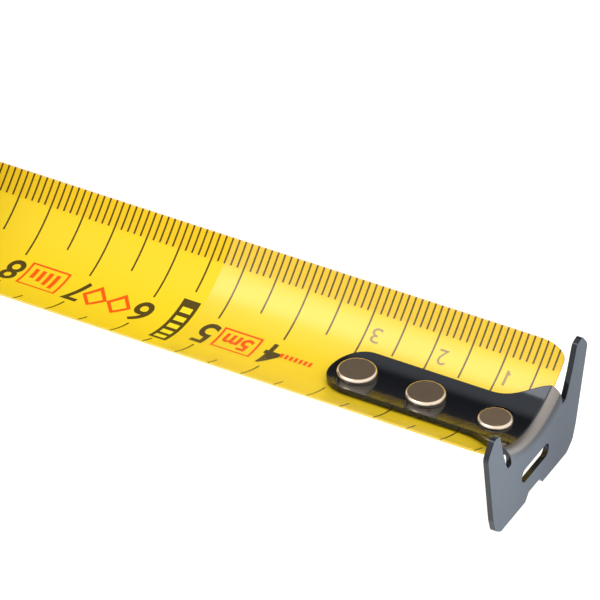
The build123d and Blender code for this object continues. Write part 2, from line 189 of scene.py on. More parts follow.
grainGroup = makeGrainGroup()
wearGroup = makeWearGroup()


def placeGroup(tree, group, **values):
    node = tree.nodes.new("ShaderNodeGroup")
    node.node_tree = group
    for label, value in values.items():
        feed(tree, node.inputs[label], value)
    return node.outputs


def grained(name, look):  # one plain material with grain, wear and rounded edges
    material, tree, shader = newMaterial(name)
    place = objectPlace(tree)
    grain = placeGroup(tree, grainGroup, Place=place, Scale=look["scale"],
                       Roughness=look["roughness"], Spread=look["spread"])
    worn = placeGroup(tree, wearGroup, Place=place, Amount=look["wear"])
    base = mixColour(tree, grain["Patch"], look["dark"], look["light"])
    tinted = mixColour(tree, worn["Mask"], base, look["edge"])
    tree.links.new(tinted, shader.inputs["Base Color"])
    tree.links.new(grain["Roughness"], shader.inputs["Roughness"])
    shader.inputs["Metallic"].default_value = look["metallic"]
    shader.inputs["Specular IOR Level"].default_value = look.get("specular", 0.5)
    edges = roundedEdge(tree, look["rounding"])
    tree.links.new(bumped(tree, grain["Height"], look["bump"], 1.0, edges), shader.inputs["Normal"])
    return material, tree, shader


def paint(names, material):
    for name in names:
        mesh = nodes[name].data
        mesh.materials.clear()
        mesh.materials.append(material)


blade = {
    "width": 25.0,  # along the curve, edge to edge, in millimetres as the rest here
    "tightRadius": 14.1,  # of the trough's middle
    "flattening": 0.8,  # share of the curvature lost by the edges
    "thick": 0.2,
    "cornerReach": 2.2,  # of the end's rounded corners, along the curve
    "cornerDrop": 4.6,
    "acrossCount": 96,
    "alongCount": 28,
}
bladeLow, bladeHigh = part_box("blade")
endGap = 2.0  # from the blade's end to the zero
scaleZero = bladeHigh.x / millimetre + endGap  # the hook's working face
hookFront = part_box("end_hook")[1].x


def troughProfile(s):
    # The turn at arc s is (s - f (4/w^2) s^3 / 3) / r; y and z are the running sums of its cosine and sine.
    steps = np.linspace(0.0, blade["width"] / 2 + 1.0, 1500)
    turn = (steps - blade["flattening"] * 4 / blade["width"] ** 2 * steps ** 3 / 3) / blade["tightRadius"]
    ds = steps[1] - steps[0]
    y = np.concatenate([[0], np.cumsum((np.cos(turn[1:]) + np.cos(turn[:-1])) / 2 * ds)])
    z = np.concatenate([[0], np.cumsum((np.sin(turn[1:]) + np.sin(turn[:-1])) / 2 * ds)])
    size, side = np.abs(s), np.sign(s)
    angle = np.interp(size, steps, turn) * side
    return np.interp(size, steps, y) * side, np.interp(size, steps, z), angle


def onBlade(u, s, lift):
    # u back from the zero, s across along the curve, lift off the printed face: metres in the row frame.
    y, z, angle = troughProfile(s)
    top = bladeLow.z / millimetre + blade["thick"]
    placed = np.stack([scaleZero - u, y - np.sin(angle) * lift, top + z + np.cos(angle) * lift], axis=-1)
    return placed * millimetre


def makePiece(name, points, faces, material, uv=None):
    mesh = bpy.data.meshes.new(name)
    mesh.from_pydata(points.tolist(), [], faces)
    mesh.validate()
    if uv is not None:
        layer = mesh.uv_layers.new(name="scaleMap")
        loops = np.zeros(len(mesh.loops), dtype=np.int64)
        mesh.loops.foreach_get("vertex_index", loops)
        layer.data.foreach_set("uv", uv[loops].astype(np.float32).ravel())
    mesh.materials.append(material)
    piece = bpy.data.objects.new(name, mesh)
    bpy.context.scene.collection.objects.link(piece)
    return piece


def gridFaces(rows, columns, offset=0, flip=False):
    first = np.arange(rows - 1)[:, None] * columns + np.arange(columns - 1)[None, :] + offset
    quads = np.stack([first, first + 1, first + columns + 1, first + columns], axis=-1).reshape(-1, 4)
    return quads[:, ::-1] if flip else quads


def rimFaces(rows, columns, offset):  # joins the rims of two grids of the same size
    index = np.arange(rows * columns).reshape(rows, columns)
    loop = np.concatenate([index[0, :-1], index[:-1, -1], index[-1, :0:-1], index[:0:-1, 0]])
    after = np.roll(loop, -1)
    return np.stack([loop, loop + offset, after + offset, after], axis=-1)


def smoothShade(piece, sharpAngle=30.0):
    mesh = piece.data
    mesh.polygons.foreach_set("use_smooth", np.ones(len(mesh.polygons), dtype=bool))
    mesh.set_sharp_from_angle(angle=math.radians(sharpAngle))


def endDrop(s, halfWidth):
    # The end is straight, and at each corner drops by d (1 - sqrt(1 - w^2)), with w from 0 to 1 over the reach.
    w = np.clip((np.abs(s) - (halfWidth - blade["cornerReach"])) / blade["cornerReach"], 0, 1)
    return blade["cornerDrop"] * (1 - np.sqrt(1 - w ** 2))


def troughSheet(name, uEnd, uRear, halfWidth, lift, thick, material):
    # A strip of the blade's own section, closed: a top grid, a grid below it, and a rim between them.
    across = np.sin(np.linspace(-1, 1, blade["acrossCount"]) * math.pi / 2) * halfWidth
    share = np.linspace(0, 1, blade["alongCount"])[:, None]
    rear = np.full_like(across, uRear)[None, :]
    front = (uEnd + endDrop(across, halfWidth))[None, :]
    u = rear + (front - rear) * share
    s = np.broadcast_to(across[None, :], u.shape)
    top = onBlade(u, s, lift + thick).reshape(-1, 3)
    below = onBlade(u, s, lift).reshape(-1, 3)
    rows, columns = u.shape
    count = rows * columns
    faces = np.concatenate([gridFaces(rows, columns, 0, True), gridFaces(rows, columns, count),
                            rimFaces(rows, columns, count)[:, ::-1]])
    plain = np.stack([u.ravel(), s.ravel()], axis=-1)
    blank = plain + np.array([0, 100.0])  # the underside's map lies away from the printed marks
    return makePiece(name, np.concatenate([top, below]), faces.tolist(), material,
                     np.concatenate([plain, blank]))


ink = {
    "yellow": (0.98, 0.70, 0.020, 1),
    "amber": (0.88, 0.55, 0.012, 1),
    # painted highlight: the pale warm colour of the line along the blade's edges
    "rimHighlight": (0.93, 0.72, 0.5, 1),
    "line": (0.09, 0.06, 0.003, 1),
    "dark": (0.085, 0.055, 0.008, 1),
    "faint": (0.33, 0.22, 0.06, 1),
    "orange": (0.95, 0.10, 0.005, 1),
    "lineWidth": 0.26,
    "tickTop": 12.4,
    "shortTick": 8.65,
    "middleTick": 3.45,
    "longTick": 0.55,
    "nearLong": -6.7,
    "nearMiddle": -9.57,
    "firstTick": 2.5,
    "bandBlur": 0.5,
    "bandShare": 0.7,
    "cloud": 0.12,
    "grainScale": 2600.0,
    "roughness": 0.42,
    "spread": 0.12,
    "specular": 0.1,
}


def bladeMaterial():
    material, tree, shader = newMaterial("bladeLacquer")
    uvNode = tree.nodes.new("ShaderNodeUVMap")
    uvNode.uv_map = "scaleMap"
    along, across = split(tree, uvNode.outputs[0])[:2]
    nearest = maths(tree, "ROUND", along)
    away = maths(tree, "ABSOLUTE", maths(tree, "SUBTRACT", along, nearest))
    onLine = maths(tree, "LESS_THAN", away, ink["lineWidth"] / 2)

    def every(count):  # 1 where the nearest millimetre is a multiple of count
        ratio = maths(tree, "DIVIDE", nearest, count)
        off = maths(tree, "ABSOLUTE", maths(tree, "SUBTRACT", ratio, maths(tree, "ROUND", ratio)))
        return maths(tree, "LESS_THAN", off, 0.5 / count)

    tens, fives = every(10.0), every(5.0)
    startShort = maths(tree, "SUBTRACT", ink["shortTick"],
                       maths(tree, "MULTIPLY", fives, ink["shortTick"] - ink["middleTick"]))
    start = maths(tree, "SUBTRACT", startShort,
                  maths(tree, "MULTIPLY", tens, ink["middleTick"] - ink["longTick"]))
    far = maths(tree, "MULTIPLY", maths(tree, "GREATER_THAN", across, start),
                maths(tree, "LESS_THAN", across, ink["tickTop"]))
    nearStop = maths(tree, "ADD", ink["nearMiddle"],
                     maths(tree, "MULTIPLY", tens, ink["nearLong"] - ink["nearMiddle"]))
    near = maths(tree, "MULTIPLY", fives, maths(tree, "LESS_THAN", across, nearStop))
    printed = maths(tree, "MULTIPLY", maths(tree, "MAXIMUM", far, near),
                    maths(tree, "GREATER_THAN", nearest, ink["firstTick"]))
    marks = maths(tree, "MULTIPLY", onLine, printed)
    place = objectPlace(tree)
    grain = placeGroup(tree, grainGroup, Place=place, Scale=ink["grainScale"],
                       Roughness=ink["roughness"], Spread=ink["spread"])
    beyond = rangeMask(tree, across, ink["shortTick"] - ink["bandBlur"], ink["shortTick"] + ink["bandBlur"])
    band = maths(tree, "MULTIPLY", beyond, ink["bandShare"])
    cloudy = maths(tree, "MULTIPLY", grain["Patch"], ink["cloud"])
    body = mixColour(tree, maths(tree, "ADD", band, cloudy), ink["yellow"], ink["amber"])
    # Painted highlight: a pale warm line along both edges of the printed face.
    rimHighlight = rangeMask(tree, maths(tree, "ABSOLUTE", across), 12.25, 12.45)
    rimHighlightMask = maths(tree, "MULTIPLY", rimHighlight, maths(tree, "LESS_THAN", across, 20.0))
    body = mixColour(tree, rimHighlightMask, body, ink["rimHighlight"])
    tree.links.new(mixColour(tree, marks, body, ink["line"]), shader.inputs["Base Color"])
    tree.links.new(grain["Roughness"], shader.inputs["Roughness"])
    tree.links.new(bumped(tree, grain["Height"], 0.00002, 0.35), shader.inputs["Normal"])
    shader.inputs["Specular IOR Level"].default_value = ink["specular"]
    return material


def inkMaterial(name, colour):
    material, tree, shader = newMaterial(name)
    place = objectPlace(tree)
    grain = placeGroup(tree, grainGroup, Place=place, Scale=ink["grainScale"],
                       Roughness=ink["roughness"], Spread=ink["spread"])
    lighter = tuple(min(1.0, c * 1.25 + 0.004) for c in colour[:3]) + (1,)
    tree.links.new(mixColour(tree, grain["Patch"], colour, lighter), shader.inputs["Base Color"])
    tree.links.new(grain["Roughness"], shader.inputs["Roughness"])
    shader.inputs["Specular IOR Level"].default_value = ink["specular"]
    return material


def filmMaterial():  # mostly clear, with a soft gloss from the lights
    material, tree, shader = newMaterial("endFilmClear")
    output = next(n for n in tree.nodes if n.type == "OUTPUT_MATERIAL")
    clear = tree.nodes.new("ShaderNodeBsdfTransparent")
    fresnel = tree.nodes.new("ShaderNodeFresnel")
    fresnel.inputs["IOR"].default_value = 1.5
    mix = tree.nodes.new("ShaderNodeMixShader")
    shader.inputs["Base Color"].default_value = (1, 0.97, 0.9, 1)
    shader.inputs["Metallic"].default_value = 1.0
    shader.inputs["Roughness"].default_value = 0.27
    place = objectPlace(tree)
    ripple = noiseValue(tree, place, 500.0, 2.0)
    tree.links.new(bumped(tree, ripple, 0.00002, 0.3), shader.inputs["Normal"])
    backfacing = tree.nodes.new("ShaderNodeNewGeometry").outputs["Backfacing"]
    outside = maths(tree, "SUBTRACT", 1.0, backfacing)
    tree.links.new(maths(tree, "MULTIPLY", fresnel.outputs[0], outside), mix.inputs[0])
    tree.links.new(clear.outputs[0], mix.inputs[1])
    tree.links.new(shader.outputs[0], mix.inputs[2])
    tree.links.new(mix.outputs[0], output.inputs[0])
    return material


bladeYellow = bladeMaterial()
bladeRear = scaleZero - bladeLow.x / millimetre
strip = troughSheet("bladeStrip", endGap, bladeRear, blade["width"] / 2, -blade["thick"], blade["thick"],
                    bladeYellow)
smoothShade(strip)
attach(strip, "tape")
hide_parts("blade")

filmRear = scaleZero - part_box("blade_end_film")[0].x / millimetre
filmShape = {"front": 2.05, "inset": 0.15, "lift": 0.03, "thick": 0.06}
film = troughSheet("endFilm", filmShape["front"], filmRear, blade["width"] / 2 - filmShape["inset"],
                   filmShape["lift"], filmShape["thick"], filmMaterial())
smoothShade(film)
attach(film, "tape")
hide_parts("blade_end_film")
print("blade and film made")


marks = {
    "lift": 0.012,
    "gapLift": 0.02,
    "slice": 0.45,  # longest run across the curve before a mark is cut to follow it
    "boldHeight": 5.2,
    "boldWidth": 2.6,
    "boldTop": -0.6,
    "lightHeight": 2.3,
    "lightMiddle": 5.6,
    "lean": 0.12,
}


def textShape(body, height, width, middleU, topS, bold, lean):
    # A word's outline filled flat, sized to height by width, then set upside down: u = u0 + a, s = s0 - b.
    curve = bpy.data.curves.new("word", "FONT")
    curve.body = body
    curve.offset = bold
    curve.shear = lean
    curve.resolution_u = 6
    holder = bpy.data.objects.new("word", curve)
    bpy.context.scene.collection.objects.link(holder)
    bpy.context.view_layer.update()
    mesh = bpy.data.meshes.new_from_object(holder.evaluated_get(bpy.context.evaluated_depsgraph_get()))
    points = np.zeros(len(mesh.vertices) * 3)
    mesh.vertices.foreach_get("co", points)
    points = points.reshape(-1, 3)[:, :2]
    faces = [list(p.vertices) for p in mesh.polygons]
    bpy.data.objects.remove(holder)
    bpy.data.curves.remove(curve)
    bpy.data.meshes.remove(mesh)
    low, high = points.min(0), points.max(0)
    scaleY = height / (high[1] - low[1])
    scaleX = width / (high[0] - low[0])
    a = (points[:, 0] - (low[0] + high[0]) / 2) * scaleX
    b = (points[:, 1] - low[1]) * scaleY
    return np.stack([middleU + a, topS - b], axis=-1), faces


def patch(u0, u1, s0, s1):  # one filled rectangle
    return np.array([[u0, s0], [u0, s1], [u1, s1], [u1, s0]], float), [[0, 1, 2, 3]]


def outline(u0, u1, s0, s1, line):  # a rectangle's outline, four bars
    return [patch(u0, u1, s0, s0 + line), patch(u0, u1, s1 - line, s1),
            patch(u0, u0 + line, s0 + line, s1 - line), patch(u1 - line, u1, s0 + line, s1 - line)]


def lozenge(middleU, middleS, halfU, halfS, line):  # a diamond's outline as four slanted bars
    outer = np.array([[middleU - halfU, middleS], [middleU, middleS + halfS],
                      [middleU + halfU, middleS], [middleU, middleS - halfS]])
    inner = np.array([middleU, middleS]) + (outer - np.array([middleU, middleS])) * (1 - line)
    faces = [[i, i + 4, (i + 1) % 4 + 4, (i + 1) % 4] for i in range(4)]
    return np.concatenate([outer, inner]), faces


def printPiece(name, shapes, material, lift):
    mesh = bmesh.new()
    for points, faces in shapes:
        made = [mesh.verts.new((p[0], p[1], 0.0)) for p in points]
        for face in faces:
            mesh.faces.new([made[i] for i in face])
    for cut in np.arange(-12.0, 12.0, marks["slice"]):
        whole = mesh.verts[:] + mesh.edges[:] + mesh.faces[:]
        bmesh.ops.bisect_plane(mesh, geom=whole, plane_co=(0, float(cut), 0), plane_no=(0, 1, 0))
    bmesh.ops.triangulate(mesh, faces=mesh.faces[:])
    mesh.verts.index_update()
    flat = np.array([v.co[:2] for v in mesh.verts])
    faces = [[v.index for v in f.verts] for f in mesh.faces]
    mesh.free()
    points = onBlade(flat[:, 0], flat[:, 1], lift)
    piece = makePiece(name, points, faces, material)
    turned = bmesh.new()
    turned.from_mesh(piece.data)
    for face in turned.faces:
        if face.normal.z < 0:
            face.normal_flip()
    turned.to_mesh(piece.data)
    turned.free()
    smoothShade(piece)
    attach(piece, "tape")
    return piece


dark, orange, faint = [], [], []
for number in range(4, 13):
    width = marks["boldWidth"] * (1.75 if number > 9 else 1.0)
    dark.append(textShape(str(number), marks["boldHeight"], width, number * 10.0, marks["boldTop"], 0.015,
                          marks["lean"]))
for number, middleU in ((2, 18.35), (3, 28.36)):
    faint.append(textShape(str(number), marks["lightHeight"], 1.45, middleU,
                           marks["lightMiddle"] + marks["lightHeight"] / 2, 0.0, 0.0))
faint.append(patch(8.6, 8.98, 4.45, 6.75))  # the one, a plain bar with a short flag
faint.append(patch(8.35, 8.6, 6.1, 6.45))
dark.append(patch(53.4, 56.0, -8.8, 2.0))
orange += outline(42.4, 48.35, -5.3, -0.5, 0.34)
orange.append(textShape("5m", 3.0, 4.3, 45.4, -1.4, 0.03, marks["lean"]))
orange += outline(72.3, 78.3, -5.6, -0.2, 0.34)
for bar in range(4):
    orange.append(patch(73.4 + bar * 1.1, 74.0 + bar * 1.1, -4.6 + bar * 0.4, -1.2))
orange.append(lozenge(63.5, -3.1, 1.9, 2.6, 0.34))
orange.append(lozenge(67.2, -3.1, 1.9, 2.6, 0.34))
for dash in range(7):
    orange.append(patch(34.2 + dash * 0.72, 34.65 + dash * 0.72, -2.95, -1.95))
pale = [patch(53.9, 55.5, -8.1 + step * 1.9, -7.0 + step * 1.9) for step in range(5)]
printPiece("scaleNumerals", dark, inkMaterial("inkDark", ink["dark"]), marks["lift"])
printPiece("scaleNumeralsSmall", faint, inkMaterial("inkFaint", ink["faint"]), marks["lift"])
printPiece("scaleSymbols", orange, inkMaterial("inkOrange", ink["orange"]), marks["lift"])
printPiece("scaleBlockGaps", pale, inkMaterial("inkYellow", ink["yellow"]), marks["gapLift"])
print("marks printed")


hookLook = {
    "tongue": (0.002, 0.002, 0.004, 1),
    "plate": (0.15, 0.163, 0.182, 1),
    # painted shade: the plate's darker far side
    "farPlateShade": (0.10, 0.106, 0.116, 1),
    # painted highlight: the paler metal colour of the bend
    "bend": (0.33, 0.30, 0.28, 1),
    "cut": (0.012, 0.013, 0.015, 1),
    "rounding": 0.00012,
}


def hookMaterial():
    material, tree, shader = newMaterial("hookBlackSteel")
    place = objectPlace(tree)
    x, y = split(tree, place)[:2]
    normal = split(tree, tree.nodes.new("ShaderNodeNewGeometry").outputs["True Normal"])
    nx, nz = normal[0], normal[2]
    front = rangeMask(tree, nx, 0.75, 0.95)
    back = rangeMask(tree, maths(tree, "MULTIPLY", nx, -1.0), 0.75, 0.95)
    facing = maths(tree, "MAXIMUM", front, back)
    bendX = rangeMask(tree, x, hookFront - 0.0022, hookFront - 0.0012)
    # Painted highlight: the bend between tongue and plate gets a paler metal colour.
    onBend = maths(tree, "MULTIPLY", rangeMask(tree, nx, 0.02, 0.2), rangeMask(tree, nz, 0.2, 0.6))
    bendHighlightMask = maths(tree, "MULTIPLY", onBend, rangeMask(tree, nx, 0.9, 0.7))
    brushed = noiseValue(tree, place, 260.0, 4.0, (1, 14, 14))
    grain = placeGroup(tree, grainGroup, Place=place, Scale=3500.0, Roughness=0.3, Spread=0.25)
    # Painted shade: the plate darkens towards its far side.
    sideways = rangeMask(tree, y, -0.013, 0.013)
    face = mixColour(tree, sideways, hookLook["plate"], hookLook["farPlateShade"])
    cut = mixColour(tree, facing, hookLook["cut"], face)
    bend = mixColour(tree, bendHighlightMask, cut, hookLook["bend"])
    plate = mixColour(tree, bendX, hookLook["tongue"], bend)
    tree.links.new(plate, shader.inputs["Base Color"])
    metal = maths(tree, "MULTIPLY", bendX, maths(tree, "MAXIMUM", facing, bendHighlightMask))
    tree.links.new(metal, shader.inputs["Metallic"])
    satin = maths(tree, "ADD", 0.1, maths(tree, "MULTIPLY", metal, grain["Roughness"]))
    tree.links.new(satin, shader.inputs["Roughness"])
    shader.inputs["Specular IOR Level"].default_value = 0.5
    shader.inputs["Specular Tint"].default_value = (0.82, 0.9, 1.0, 1)
    edges = roundedEdge(tree, hookLook["rounding"])
    height = maths(tree, "ADD", maths(tree, "MULTIPLY", brushed, 0.6), grain["Height"])
    tree.links.new(bumped(tree, height, 0.00001, 0.25, edges), shader.inputs["Normal"])
    return material


rivetLook = {
    "top": (0.60, 0.45, 0.31, 1),
    # painted highlight: the rim's bright warm colour, with the blade's yellow painted in as reflection
    "rimHighlight": (0.92, 0.76, 0.60, 1),
    "rounding": 0.00008,
}


def rivetMaterial(name):
    material, tree, shader = newMaterial(name)
    place = objectPlace(tree)
    normal = tree.nodes.new("ShaderNodeNewGeometry").outputs["Normal"]
    nz = split(tree, normal)[2]
    top = rangeMask(tree, nz, 0.93, 0.99)
    grain = placeGroup(tree, grainGroup, Place=place, Scale=1800.0, Roughness=0.22, Spread=0.25)
    blotch = noiseValue(tree, place, 900.0, 3.0)
    face = mixColour(tree, blotch, rivetLook["top"], tuple(c * 1.3 for c in rivetLook["top"][:3]) + (1,))
    # Painted highlight and reflection on the rim's sides; the flat top keeps its brown finish.
    tree.links.new(mixColour(tree, top, rivetLook["rimHighlight"], face), shader.inputs["Base Color"])
    shader.inputs["Metallic"].default_value = 1.0
    tree.links.new(grain["Roughness"], shader.inputs["Roughness"])
    edges = roundedEdge(tree, rivetLook["rounding"])
    tree.links.new(bumped(tree, blotch, 0.00003, 0.4, edges), shader.inputs["Normal"])
    return material


paint(["end_hook"], hookMaterial())
paint(["hook_rivets", "hook_rivet_front", "rivet_washers"], rivetMaterial("rivetNickel"))
print("hook and rivets finished")


plasticLook = {"scale": 2200.0, "roughness": 0.5, "spread": 0.05, "wear": 0.15, "metallic": 0.0,
               "dark": (0.018, 0.019, 0.021, 1), "light": (0.021, 0.022, 0.025, 1),
               "edge": (0.10, 0.10, 0.105, 1), "rounding": 0.0003, "bump": 0.00004}
innerLook = {"scale": 1600.0, "roughness": 0.45, "spread": 0.1, "wear": 0.2, "metallic": 0.0,
             "dark": (0.16, 0.16, 0.17, 1), "light": (0.22, 0.22, 0.23, 1),
             "edge": (0.3, 0.3, 0.3, 1), "rounding": 0.0002, "bump": 0.00002}
lockLook = {"scale": 2200.0, "roughness": 0.42, "spread": 0.1, "wear": 0.3, "metallic": 0.0,
            "dark": (0.86, 0.50, 0.02, 1), "light": (0.95, 0.58, 0.03, 1),
            "edge": (1.0, 0.75, 0.25, 1), "rounding": 0.0003, "bump": 0.00003}
screwLook = {"scale": 3000.0, "roughness": 0.32, "spread": 0.2, "wear": 0.6, "metallic": 1.0,
             "dark": (0.28, 0.28, 0.29, 1), "light": (0.42, 0.42, 0.43, 1),
             "edge": (0.75, 0.75, 0.75, 1), "rounding": 0.00012, "bump": 0.00001}
springLook = {"scale": 2500.0, "roughness": 0.3, "spread": 0.2, "wear": 0.3, "metallic": 1.0,
              "dark": (0.30, 0.31, 0.34, 1), "light": (0.45, 0.46, 0.48, 1),
              "edge": (0.7, 0.7, 0.7, 1), "rounding": 0.00005, "bump": 0.00001}
clipLook = {"scale": 3000.0, "roughness": 0.34, "spread": 0.08, "wear": 0.5, "metallic": 1.0,
            "dark": (0.50, 0.50, 0.51, 1), "light": (0.56, 0.56, 0.56, 1),
            "edge": (0.85, 0.85, 0.85, 1), "rounding": 0.00015, "bump": 0.00001}
rubberLook = {"scale": 2600.0, "roughness": 0.75, "spread": 0.05, "wear": 0.1, "metallic": 0.0,
              "dark": (0.010, 0.010, 0.011, 1), "light": (0.012, 0.012, 0.013, 1),
              "edge": (0.05, 0.05, 0.05, 1), "rounding": 0.0003, "bump": 0.00006}

casePlastic = grained("caseGraphite", plasticLook)[0]
innerPlastic = grained("innerPlastic", innerLook)[0]
lockPlastic = grained("lockYellow", lockLook)[0]
screwSteel = grained("screwSteel", screwLook)[0]
springSteel = grained("springSteel", springLook)[0]
clipSteel = grained("clipSteel", clipLook)[0]


ribs = {"centreHeight": 0.038, "perTurn": 90.0, "halfWidth": 0.0105, "fade": 0.0005, "height": 0.0005}


def gripMaterial():  # rubber with raised ribs across the band
    material, tree, shader = grained("gripRubber", rubberLook)
    place = objectPlace(tree)
    x, y, z = split(tree, place)
    around = maths(tree, "ARCTAN2", maths(tree, "SUBTRACT", z, ribs["centreHeight"]), x)
    wave = maths(tree, "SINE", maths(tree, "MULTIPLY", around, ribs["perTurn"]))
    rib = rangeMask(tree, wave, -0.2, 0.5)
    inside = rangeMask(tree, maths(tree, "ABSOLUTE", y), ribs["halfWidth"], ribs["halfWidth"] - ribs["fade"])
    height = maths(tree, "MULTIPLY", rib, inside)
    old = shader.inputs["Normal"].links[0].from_socket
    tree.links.new(bumped(tree, height, ribs["height"], 1.0, old), shader.inputs["Normal"])
    return material


badge = {
    "ringInner": (0.0148, 0.0150),
    "ringOuter": (0.0168, 0.0166),
    "ringColour": (0.02, 0.02, 0.022, 1),
    "grooveRate": 9000.0,
    "grooveEdge": (0.0140, 0.0135),
    "grooveDepth": 0.00006,
}


def badgeMaterial():  # a plain yellow disc with turned rings and a dark ring
    material, tree, shader = grained("badgeYellow", {**lockLook, "roughness": 0.35})
    place = objectPlace(tree)
    sides = split(tree, place)
    x, z = sides[0], sides[2]
    badgeLow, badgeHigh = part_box("side_badge")
    middle = (badgeLow + badgeHigh) / 2
    dx = maths(tree, "SUBTRACT", x, middle.x)
    dz = maths(tree, "SUBTRACT", z, middle.z)
    square = maths(tree, "ADD", maths(tree, "MULTIPLY", dx, dx), maths(tree, "MULTIPLY", dz, dz))
    radius = maths(tree, "SQRT", square)
    ring = maths(tree, "MULTIPLY", rangeMask(tree, radius, *badge["ringInner"]),
                 rangeMask(tree, radius, *badge["ringOuter"]))
    old = shader.inputs["Base Color"].links[0].from_socket
    tree.links.new(mixColour(tree, ring, old, badge["ringColour"]), shader.inputs["Base Color"])
    grooves = maths(tree, "SINE", maths(tree, "MULTIPLY", radius, badge["grooveRate"]))
    inner = maths(tree, "MULTIPLY", grooves, rangeMask(tree, radius, *badge["grooveEdge"]))
    oldNormal = shader.inputs["Normal"].links[0].from_socket
    tree.links.new(bumped(tree, inner, badge["grooveDepth"], 0.6, oldNormal), shader.inputs["Normal"])
    return material


gripRubber = gripMaterial()
plainRubber = grained("padRubber", rubberLook)[0]
paint(["case_left", "case_right"], casePlastic)
paint(["rubber_grip"], gripRubber)
paint(["mouth_bumper", "thumb_pad", "brake_pad"], plainRubber)
paint(["side_badge"], badgeMaterial())
paint(["lock_slider"], lockPlastic)
paint(["blade_guide", "center_post", "spring_drum", "drum_cover", "brake_lever"], innerPlastic)
paint(["case_screws", "post_screw", "brake_pin", "clip_screw", "clip_plate"], screwSteel)
paint(["mainspring", "blade_anchor"], springSteel)
print("case and fittings finished")


coil = {"inner": 17.95, "turns": 36, "perTurn": 72, "sheet": 0.14, "acrossCount": 9}


def spiralRoll():
    # The wound blade: radius r = r0 + p t / 2 pi from the drum outwards, swept across the reel, 0.14 thick.
    low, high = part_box("blade_coil")
    middle = (low + high) / 2 / millimetre
    outer = (high.x - low.x) / 2 / millimetre - coil["sheet"] - 0.05
    count = coil["turns"] * coil["perTurn"] + 1
    turn = np.linspace(0, coil["turns"] * 2 * math.pi, count)
    radius = coil["inner"] + (outer - coil["inner"]) * turn / turn[-1]
    half = (high.y - low.y) / 2 / millimetre
    across = np.linspace(-half, half, coil["acrossCount"])
    rows = []
    for extra in (coil["sheet"], 0.0):
        r = (radius + extra)[:, None] * np.ones_like(across)[None, :]
        rows.append(np.stack([middle.x + r * np.cos(turn)[:, None], np.broadcast_to(across[None, :], r.shape),
                              middle.z + r * np.sin(turn)[:, None]], axis=-1).reshape(-1, 3))
    points = np.concatenate(rows) * millimetre
    total = count * coil["acrossCount"]
    faces = np.concatenate([gridFaces(count, coil["acrossCount"], 0),
                            gridFaces(count, coil["acrossCount"], total, True),
                            rimFaces(count, coil["acrossCount"], total)])
    flat = np.stack([np.zeros(2 * total), np.full(2 * total, 100.0)], axis=-1)
    piece = makePiece("bladeRoll", points, faces.tolist(), bladeYellow, flat)
    fixNormals(piece)
    smoothShade(piece)
    return piece


def fixNormals(piece):
    mesh = bmesh.new()
    mesh.from_mesh(piece.data)
    bmesh.ops.recalc_face_normals(mesh, faces=mesh.faces[:])
    mesh.to_mesh(piece.data)
    mesh.free()


for sheetPiece in (strip, film):
    fixNormals(sheetPiece)
roll = spiralRoll()
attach(roll, "reel")
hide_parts("blade_coil")

clipShape = {
    "path": [(-20.6, 66.0), (-20.6, 49.7), (-20.7, 46.2), (-25.9, 39.2), (-25.9, 26.0), (-22.3, 18.0),
             (-26.1, 12.5)],  # y and z down the middle of the strip
    "radii": [4.0, 4.0, 4.0, 4.0, 3.0],  # at the five inner corners of the path
    "thick": 1.2,
    "step": 0.5,
    "half": 7.0,
    "corner": 3.0,  # at the four ends of the strip
    "round": 0.22,  # of the long edges
    "mostReach": 0.45,  # share of a straight run that a corner may take
}


def roundedPath(points, radii, step):
    # Straight runs joined by curves that start r tan(a / 2) before each corner and blend the two runs
    # quadratically. The whole line is then resampled evenly.
    line = [np.array(points[0])]
    for before, corner, after, radius in zip(points[:-2], points[1:-1], points[2:], radii):
        before, corner, after = np.array(before), np.array(corner), np.array(after)
        inward = (corner - before) / np.linalg.norm(corner - before)
        onward = (after - corner) / np.linalg.norm(after - corner)
        turn = math.acos(np.clip(inward @ onward, -1, 1))
        shorter = min(np.linalg.norm(corner - before), np.linalg.norm(after - corner))
        reach = min(radius * math.tan(turn / 2), clipShape["mostReach"] * shorter)
        for share in np.linspace(0, 1, 9):
            first = corner - inward * reach * (1 - share)
            second = corner + onward * reach * share
            line.append(first * (1 - share) + second * share)
    line.append(np.array(points[-1]))
    line = np.array(line)
    length = np.concatenate([[0], np.cumsum(np.linalg.norm(np.diff(line, axis=0), axis=1))])
    even = np.linspace(0, length[-1], int(length[-1] / step) + 1)
    return np.stack([np.interp(even, length, line[:, k]) for k in (0, 1)], axis=-1), even


